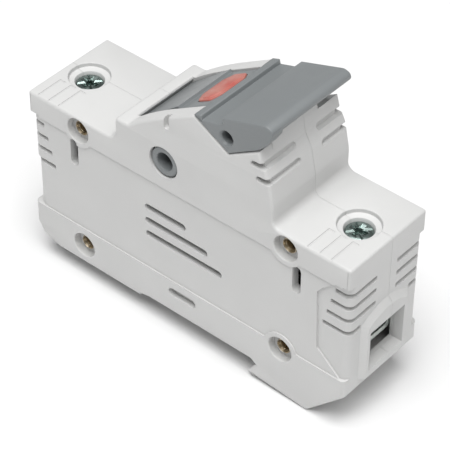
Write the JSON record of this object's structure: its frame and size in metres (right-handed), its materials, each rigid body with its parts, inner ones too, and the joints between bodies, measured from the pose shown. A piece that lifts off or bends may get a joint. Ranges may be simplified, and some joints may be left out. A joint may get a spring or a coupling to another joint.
{
  "type": "fuse switch-disconnector",
  "caption": "Rail-mounted one-pole holder for a cylindrical cartridge fuse, with a swing-out carrier, screw terminals, blown-fuse lamp and rail catch.",
  "frame": {"origin": "on the rail seat, at the middle of the body's length and width", "axes": "+X along the body towards the wire entry on the rail hook's side, +Y across the body's width, +Z away from the rail"},
  "size_m": [0.1017, 0.027, 0.0754],
  "materials": {
    "light_grey_plastic": "fine satin moulding",
    "dark_grey_plastic": "fine satin moulding",
    "red_lens": "translucent red moulding",
    "white_ceramic": "glazed ceramic",
    "silver_plate": "silver-plated copper",
    "zinc_plate": "zinc-plated steel with a slight green cast",
    "spring_steel": "bare spring steel",
    "brass": "drawn brass",
    "circuit_board": "green solder mask",
    "lamp_glass": "clear glass bulb"
  },
  "bodies": {
    "housing": {"housing_near": "light_grey_plastic", "housing_far": "light_grey_plastic", "rivet_upper_left": "brass", "rivet_upper_right": "brass", "rivet_lower_left": "brass", "rivet_lower_right": "brass", "contact_left": "silver_plate", "contact_right": "silver_plate", "jaw_spring_left": "spring_steel", "jaw_spring_right": "spring_steel", "catch_spring": "spring_steel"},
    "carrier": {"fuse_carrier": "dark_grey_plastic", "indicator_lens": "red_lens", "indicator_lamp": "lamp_glass", "indicator_board": "circuit_board", "fuse_tube": "white_ceramic", "fuse_cap_left": "silver_plate", "fuse_cap_right": "silver_plate", "fuse_element": "silver_plate"},
    "screw_left": {"terminal_screw_left": "zinc_plate"},
    "screw_right": {"terminal_screw_right": "zinc_plate"},
    "cage_left": {"clamp_cage_left": "zinc_plate"},
    "cage_right": {"clamp_cage_right": "zinc_plate"},
    "catch": {"rail_catch": "dark_grey_plastic"}
  },
  "joints": [
    {"name": "carrier_hinge", "type": "hinge", "parent": "housing", "child": "carrier", "pos_m": [-0.00543, 0, 0.04438], "axis": [0, -1, 0], "range_deg": [0, 56]},
    {"name": "screw_turn_left", "type": "hinge", "parent": "housing", "child": "screw_left", "pos_m": [-0.0406, 0, 0.0381], "axis": [0, 0, -1], "range_deg": [0, 2520]},
    {"name": "screw_turn_right", "type": "hinge", "parent": "housing", "child": "screw_right", "pos_m": [0.0394, 0, 0.0381], "axis": [0, 0, -1], "range_deg": [0, 2520]},
    {"name": "clamp_slide_left", "type": "slide", "parent": "housing", "child": "cage_left", "axis": [0, 0, 1], "range_m": [0, 0.0056]},
    {"name": "clamp_slide_right", "type": "slide", "parent": "housing", "child": "cage_right", "axis": [0, 0, 1], "range_m": [0, 0.0056]},
    {"name": "catch_slide", "type": "slide", "parent": "housing", "child": "catch", "axis": [-1, 0, 0], "range_m": [0, 0.003], "stiffness_N_per_m": 500, "springref_m": -0.004, "deforming": ["catch_spring"]}
  ],
  "couplings": [
    {"joint": "screw_turn_left", "follows": "clamp_slide_left", "rad_per_m": 7853.9},
    {"joint": "screw_turn_right", "follows": "clamp_slide_right", "rad_per_m": 7853.9}
  ]
}
